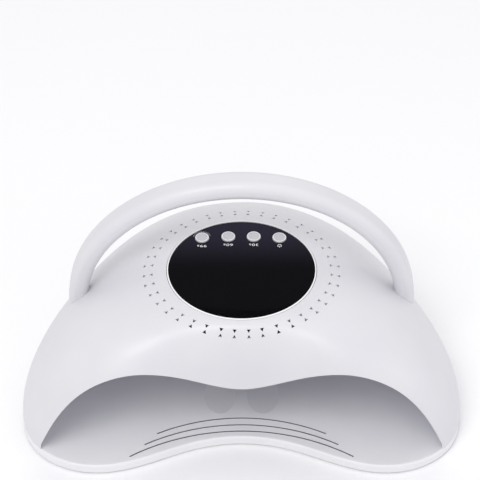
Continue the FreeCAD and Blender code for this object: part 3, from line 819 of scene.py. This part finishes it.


# ------------------------------------------------------------------ the display's printed marks and the keys' painted highlight rings
@dataclass
class DisplayMarks:
    """The print on the dark window: numerals, the power sign and an arc of ticks, and on each
    key's cap a white ring that is a painted highlight for the cap's bright rim.

    Attributes:
        ink_mm: How thick the ink lies.
        label_drop_mm: From a key's centre to its label, towards the front.
        numerals: What each timer key's label says.
        numeral_mm: The height of the numerals.
        font_per_height: The font size that makes a numeral one unit high.
        numeral_step: The spacing of the numerals, next to the font's own.
        stretch: How much the numerals are widened and flattened.
        cap_radius_mm: The radius of a key's cap.
        ring_inset_mm: From a key cap's edge to the middle of its painted highlight ring.
        ring_line_mm: The width of that ring's line.
        ring_lift: How far the line's middle lies above the cap, in thicknesses of ink.
        ring_steps: How many straight steps the ring has.
        sign_radii_mm: The inner and outer radius of the power sign's broken ring.
        sign_gap_deg: Half of the gap in it.
        sign_steps: How many straight steps it has.
        stroke_mm: The width and length of the power sign's stroke.
        stroke_shift_mm: From the sign's centre to the stroke's.
        tick_radius_mm: From the first key's centre to the arc of ticks.
        tick_count: How many ticks there are.
        tick_mm: The length and width of a tick.
        tick_start_deg: Where the arc starts.
        tick_sweep_deg: How far it runs.
        tick_least: The smallest scale of a tick, by axis.
        tick_most: The largest scale of a tick, by axis.
        tick_seed: The seed of the ticks' uneven sizes.
    """

    ink_mm: float = 0.06
    label_drop_mm: float = 8.1
    numerals: dict[str, str] = field(
        default_factory=lambda: {
            "button_high": "99s",
            "button_middle": "60s",
            "button_low": "30s",
        }
    )
    numeral_mm: float = 2.9
    font_per_height: float = 1.35
    numeral_step: float = 1.08
    stretch: tuple[float, float] = (1.2, 0.82)
    cap_radius_mm: float = 4.9
    ring_inset_mm: float = 0.62
    ring_line_mm: float = 0.62
    ring_lift: float = 0.4
    ring_steps: int = 48
    sign_radii_mm: tuple[float, float] = (1.05, 1.45)
    sign_gap_deg: float = 38.0
    sign_steps: int = 28
    stroke_mm: tuple[float, float] = (0.4, 1.5)
    stroke_shift_mm: float = 1.0
    tick_radius_mm: float = 6.2
    tick_count: int = 13
    tick_mm: tuple[float, float] = (0.65, 0.32)
    tick_start_deg: float = 28.0
    tick_sweep_deg: float = 134.0
    tick_least: tuple[float, float, float] = (0.8, 0.9, 1.0)
    tick_most: tuple[float, float, float] = (1.1, 1.1, 1.0)
    tick_seed: int = 7

    def key_centre(self, node: str) -> Vector:
        """The middle of a key, on the window's upper face.

        Args:
            node: The key.

        Returns:
            The point.
        """
        low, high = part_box(node)
        window_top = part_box("display_window")[1].z
        return Vector(((low.x + high.x) / 2, (low.y + high.y) / 2, window_top))

    def label_centre(self, node: str) -> Vector:
        """The middle of a key's label, on the window's upper face."""
        return self.key_centre(node) - Vector((0, self.label_drop_mm * MM, 0))

    def numeral(self, node: str, words: str) -> bpy.types.Object:
        """Print one numeral, turned to be read from the side away from the hands.

        Args:
            node: The key it belongs to.
            words: What it says.

        Returns:
            The numeral as a plain mesh.
        """
        curve = bpy.data.curves.new(node + "_numeral", "FONT")
        curve.body = words
        curve.size = self.numeral_mm * self.font_per_height * MM
        curve.align_x, curve.align_y = "CENTER", "CENTER"
        curve.extrude = self.ink_mm * MM / 2
        curve.space_character = self.numeral_step
        mesh = plain_mesh(linked_object(node + "_maker", curve))
        place = Matrix.Translation(self.label_centre(node))
        half_turn = Matrix.Rotation(math.pi, 4, "Z")
        mesh.transform(place @ half_turn @ Matrix.Diagonal((*self.stretch, 1, 1)))
        mesh.materials.clear()
        mesh.materials.append(WHITE_INK_AND_HIGHLIGHT.material())
        return linked_object(node + "_numeral", mesh)

    def power_sign(self) -> bpy.types.Object:
        """Print the usual power sign: a broken ring with a stroke in the gap.

        Returns:
            The sign as a plain mesh.
        """
        centre = self.label_centre("button_power")
        inner, outer = (radius * MM for radius in self.sign_radii_mm)
        gap = math.radians(self.sign_gap_deg)
        height = self.ink_mm * MM / 2

        def fill(work: bmesh.types.BMesh) -> None:
            """The broken ring, then the stroke.

            Args:
                work: The bmesh to fill.
            """
            columns = []
            for k in range(self.sign_steps + 1):
                turn = -math.pi / 2 + gap + (2 * math.pi - 2 * gap) * k / self.sign_steps
                spoke = Vector((math.cos(turn), math.sin(turn), 0))
                corners = ((inner, -height), (outer, -height), (outer, height), (inner, height))
                columns.append([
                    work.verts.new(centre + spoke * radius + Vector((0, 0, z)))
                    for radius, z in corners
                ])
            for before, after in zip(columns, columns[1:]):
                for a in range(4):
                    b = (a + 1) % 4
                    work.faces.new((before[a], before[b], after[b], after[a]))
            for end in (columns[0], columns[-1]):
                work.faces.new(end)
            wide, long = (side * MM for side in self.stroke_mm)
            size = Vector((wide, long, 2 * height))
            shift = Vector((0, -self.stroke_shift_mm * MM, 0))
            for vert in bmesh.ops.create_cube(work, size=1.0)["verts"]:
                vert.co = centre + shift + vert.co * size

        sign = mesh_from_bmesh("power_sign", fill)
        sign.data.materials.append(WHITE_INK_AND_HIGHLIGHT.material())
        return sign

    def key_highlight_ring(self, node: str) -> bpy.types.Object:
        """Paint a white ring round the top of one key's cap, a painted highlight for the cap's
        bright rim.

        Args:
            node: The key.

        Returns:
            The ring as a plain mesh.
        """
        centre = self.key_centre(node)
        centre.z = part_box(node)[1].z + self.ring_lift * self.ink_mm * MM
        radius = (self.cap_radius_mm - self.ring_inset_mm) * MM
        recipe = GeometryRecipe(
            node + "_ring",
            {
                "Centre": (SocketKind.POINT, tuple(centre)),
                "Ring radius": (SocketKind.LENGTH, radius),
                "Ring steps": (SocketKind.COUNT, self.ring_steps),
                "Line width": (SocketKind.LENGTH, self.ring_line_mm * MM),
                "Ink height": (SocketKind.LENGTH, self.ink_mm * MM),
            },
        )
        tree = recipe.tree
        circle = add_node(
            tree,
            "GeometryNodeCurvePrimitiveCircle",
            links={
                "Radius": recipe.given("Ring radius"),
                "Resolution": recipe.given("Ring steps"),
            },
        )
        section = add_node(
            tree,
            "GeometryNodeCurvePrimitiveQuadrilateral",
            links={"Width": recipe.given("Line width"), "Height": recipe.given("Ink height")},
        )
        band = add_node(
            tree,
            "GeometryNodeCurveToMesh",
            links={"Curve": circle.outputs["Curve"], "Profile Curve": section.outputs["Curve"]},
        )
        placed = add_node(
            tree,
            "GeometryNodeTransform",
            links={"Geometry": band.outputs["Mesh"], "Translation": recipe.given("Centre")},
        )
        return recipe.finish(placed.outputs["Geometry"], WHITE_INK_AND_HIGHLIGHT.material())

    def tick_arc(self) -> bpy.types.Object:
        """Print the arc of short ticks beyond the first key.

        Returns:
            The ticks as a plain mesh.
        """
        long, wide = self.tick_mm
        recipe = GeometryRecipe(
            "tick_arc",
            {
                "Centre": (SocketKind.POINT, tuple(self.key_centre("button_high"))),
                "Arc radius": (SocketKind.LENGTH, self.tick_radius_mm * MM),
                "Arc start": (SocketKind.LENGTH, math.radians(self.tick_start_deg)),
                "Arc sweep": (SocketKind.LENGTH, math.radians(self.tick_sweep_deg)),
                "Tick count": (SocketKind.COUNT, self.tick_count),
                "Tick long": (SocketKind.LENGTH, long * MM),
                "Tick wide": (SocketKind.LENGTH, wide * MM),
                "Ink height": (SocketKind.LENGTH, self.ink_mm * MM),
                "Seed": (SocketKind.COUNT, self.tick_seed),
            },
        )
        tree = recipe.tree
        arc = add_node(
            tree,
            "GeometryNodeCurveArc",
            links={
                "Radius": recipe.given("Arc radius"),
                "Resolution": recipe.given("Tick count"),
                "Start Angle": recipe.given("Arc start"),
                "Sweep Angle": recipe.given("Arc sweep"),
            },
        )
        placed = add_node(
            tree,
            "GeometryNodeTransform",
            links={"Geometry": arc.outputs["Curve"], "Translation": recipe.given("Centre")},
        )
        spots = add_node(
            tree,
            "GeometryNodeCurveToPoints",
            links={"Curve": placed.outputs["Geometry"], "Count": recipe.given("Tick count")},
        )
        size = add_node(
            tree,
            "ShaderNodeCombineXYZ",
            links={
                "X": recipe.given("Tick long"),
                "Y": recipe.given("Tick wide"),
                "Z": recipe.given("Ink height"),
            },
        )
        tick = add_node(tree, "GeometryNodeMeshCube", links={"Size": size.outputs["Vector"]})
        aim = add_node(
            tree,
            "FunctionNodeAlignEulerToVector",
            links={"Vector": spots.outputs["Tangent"]},
            axis="Y",
        )
        uneven = add_node(
            tree,
            "FunctionNodeRandomValue",
            {"Min": self.tick_least, "Max": self.tick_most},
            {"Seed": recipe.given("Seed")},
            data_type="FLOAT_VECTOR",
        )
        copies = add_node(
            tree,
            "GeometryNodeInstanceOnPoints",
            links={
                "Points": spots.outputs["Points"],
                "Instance": tick.outputs["Mesh"],
                "Rotation": aim.outputs["Rotation"],
                "Scale": uneven.outputs["Value"],
            },
        )
        return recipe.finish(copies.outputs["Instances"], WHITE_INK_AND_HIGHLIGHT.material())

    def build(self) -> None:
        """Make every mark and fix it to the housing, and each ring to its key."""
        pieces = [self.tick_arc(), self.power_sign()]
        pieces += [self.numeral(node, words) for node, words in self.numerals.items()]
        riders = {piece: Body.HOUSING.value for piece in pieces}
        # Each key's white ring is a painted highlight for its cap's bright rim, so it rides on its
        # key.
        riders |= {self.key_highlight_ring(node): node + "_key" for node in (*self.numerals, "button_power")}
        for piece, body in riders.items():
            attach(piece, body)
            report(piece)


# ------------------------------------------------------------------ the plate's strips of painted groove shade
@dataclass(frozen=True)
class GrooveArc:
    """The run of one groove across the plate.

    Attributes:
        end_x_mm: Half of its span.
        end_y_mm: Where its ends lie.
        middle_y_mm: Where its middle lies.
    """

    end_x_mm: float
    end_y_mm: float
    middle_y_mm: float


@dataclass
class GrooveShadeStrips:
    """The thin dark strips that lie in the plate's three curved grooves: painted shade for the
    shade deep in each groove.

    Attributes:
        arcs: The grooves, from the middle of the plate outwards.
        wide_mm: The strip's width, a little less than the groove's.
        thick_mm: The strip's thickness. It stands on the floor of the groove.
        sunk_mm: How far its top lies below the plate's upper face.
        steps: How many straight steps a strip has.
    """

    arcs: tuple[GrooveArc, ...] = (
        GrooveArc(58.7, -81.3, -67.1),
        GrooveArc(67.0, -91.2, -73.3),
        GrooveArc(77.0, -101.9, -79.1),
    )
    wide_mm: float = 0.9
    thick_mm: float = 1.25
    sunk_mm: float = 0.35
    steps: int = 72

    def strip(self, number: int, arc: GrooveArc) -> bpy.types.Object:
        """One strip swept along its groove.

        Args:
            number: Counts the strips from the middle of the plate outwards.
            arc: The groove's run.

        Returns:
            The strip as a plain mesh.
        """
        end_x, end_y, middle_y = arc.end_x_mm * MM, arc.end_y_mm * MM, arc.middle_y_mm * MM
        plate_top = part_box("base_plate")[1].z
        z = plate_top - (self.sunk_mm + self.thick_mm / 2) * MM
        recipe = GeometryRecipe(
            f"groove_strip_{number}",
            {
                "Left end": (SocketKind.POINT, (-end_x, end_y, z)),
                "Middle": (SocketKind.POINT, (0.0, middle_y, z)),
                "Right end": (SocketKind.POINT, (end_x, end_y, z)),
                "Strip steps": (SocketKind.COUNT, self.steps),
                "Strip width": (SocketKind.LENGTH, self.wide_mm * MM),
                "Strip thickness": (SocketKind.LENGTH, self.thick_mm * MM),
            },
        )
        tree = recipe.tree
        run = add_node(
            tree,
            "GeometryNodeCurveArc",
            links={
                "Resolution": recipe.given("Strip steps"),
                "Start": recipe.given("Left end"),
                "Middle": recipe.given("Middle"),
                "End": recipe.given("Right end"),
            },
            mode="POINTS",
        )
        section = add_node(
            tree,
            "GeometryNodeCurvePrimitiveQuadrilateral",
            links={
                "Width": recipe.given("Strip width"),
                "Height": recipe.given("Strip thickness"),
            },
        )
        swept = add_node(
            tree,
            "GeometryNodeCurveToMesh",
            {"Fill Caps": True},
            {"Curve": run.outputs["Curve"], "Profile Curve": section.outputs["Curve"]},
        )
        # The strip's dark finish is painted shade for the shade deep in the groove.
        return recipe.finish(swept.outputs["Mesh"], GROOVE_PAINTED_SHADE.material())

    def build(self) -> None:
        """Make the strips and fix them to the plate."""
        for number, arc in enumerate(self.arcs, 1):
            piece = self.strip(number, arc)
            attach(piece, Body.BASE.value)
            report(piece)


# ------------------------------------------------------------------ studio
@dataclass(frozen=True)
class SoftLight:
    """One square soft light that faces the lamp.

    Attributes:
        name: The light's name.
        place: Where it hangs, in metres.
        side: The length of its side, in metres.
        watts: Its power.
        colour: Its colour.
        target: The point that it faces, in metres.
    """

    name: str
    place: tuple[float, float, float]
    side: float
    watts: float
    colour: str = "FFFFFF"
    target: tuple[float, float, float] = (0.0, 0.0, 0.1)

    def hang(self) -> None:
        """Put the light into the scene."""
        data = bpy.data.lights.new(self.name, "AREA")
        data.size, data.energy = self.side, self.watts
        data.color = linear(self.colour)[:3]
        lamp = bpy.data.objects.new(self.name, data)
        lamp.location = self.place
        sight = Vector(self.target) - Vector(self.place)
        lamp.rotation_euler = sight.to_track_quat("-Z", "Y").to_euler()
        bpy.context.scene.collection.objects.link(lamp)


@dataclass
class Studio:
    """The pale floor, the soft lights and the long-lens camera.

    Attributes:
        elevation_deg: How far the camera looks down.
        distance: From the camera to the point it looks at, in metres.
        aim_x: Where its line meets the floor, across the lamp.
        aim_y: Where its line meets the floor, along the lamp's depth.
        lens_mm: The focal length.
        sensor_mm: The width of the sensor.
        clip: The nearest and farthest distance that it sees, in metres.
        floor_half: Half of the floor's side, in metres.
        floor_z: The floor's height, a hair below the feet, in metres.
        sky: The even colour all round.
        sky_strength: How bright that is.
        lights: The soft lights.
    """

    elevation_deg: float = 43.0
    distance: float = 1.298
    aim_x: float = -0.0011
    aim_y: float = 0.1255
    lens_mm: float = 122.45
    sensor_mm: float = 36.0
    clip: tuple[float, float] = (0.05, 20.0)
    floor_half: float = 4.0
    floor_z: float = -0.0002
    sky: str = "F8F8F9"
    sky_strength: float = 0.8
    lights: tuple[SoftLight, ...] = (
        SoftLight("front_soft", (-0.5, -0.95, 1.75), side=0.9, watts=13.0),
        SoftLight("top_soft", (0.5, 0.5, 1.9), side=1.2, watts=3.0),
        SoftLight("right_soft", (1.8, -0.6, 0.6), side=1.0, watts=3.0, colour="FAFAFF"),
    )

    def camera(self) -> None:
        """Place the camera."""
        data = bpy.data.cameras.new("camera")
        data.lens, data.sensor_width = self.lens_mm, self.sensor_mm
        data.clip_start, data.clip_end = self.clip
        rig = bpy.data.objects.new("camera", data)
        tilt = math.radians(self.elevation_deg)
        back = Vector((0, -math.cos(tilt), math.sin(tilt))) * self.distance
        rig.location = Vector((self.aim_x, self.aim_y, 0)) + back
        rig.rotation_euler = (math.pi / 2 - tilt, 0, 0)
        bpy.context.scene.collection.objects.link(rig)
        bpy.context.scene.camera = rig

    def floor(self) -> None:
        """Lay the floor as one wide sheet."""

        def fill(work: bmesh.types.BMesh) -> None:
            """One square face.

            Args:
                work: The bmesh to fill.
            """
            half, z = self.floor_half, self.floor_z
            corners = [(-half, -half), (half, -half), (half, half), (-half, half)]
            work.faces.new([work.verts.new((x, y, z)) for x, y in corners])

        floor = mesh_from_bmesh("studio_floor", fill)
        floor.data.materials.append(FLOOR_PAINT.material())

    def surroundings(self) -> None:
        """Light the scene evenly from all round, and show colours as they are."""
        world = bpy.data.worlds.new("studio")
        world.use_nodes = True
        background = world.node_tree.nodes["Background"]
        background.inputs["Color"].default_value = linear(self.sky)
        background.inputs["Strength"].default_value = self.sky_strength
        bpy.context.scene.world = world
        bpy.context.scene.view_settings.view_transform = "Standard"
        bpy.context.scene.view_settings.look = "None"

    def build(self) -> None:
        """Set up the whole studio."""
        self.camera()
        self.floor()
        self.surroundings()
        for light in self.lights:
            light.hang()
        LOG.info("studio: %d lights", len(self.lights))


def main() -> None:
    """Build the studio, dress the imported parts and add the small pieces."""
    logging.basicConfig(level=logging.INFO, format="%(name)s %(message)s")
    Studio().build()
    dress_cad_nodes()
    DisplayMarks().build()
    GrooveShadeStrips().build()


if __name__ == "__main__":
    main()
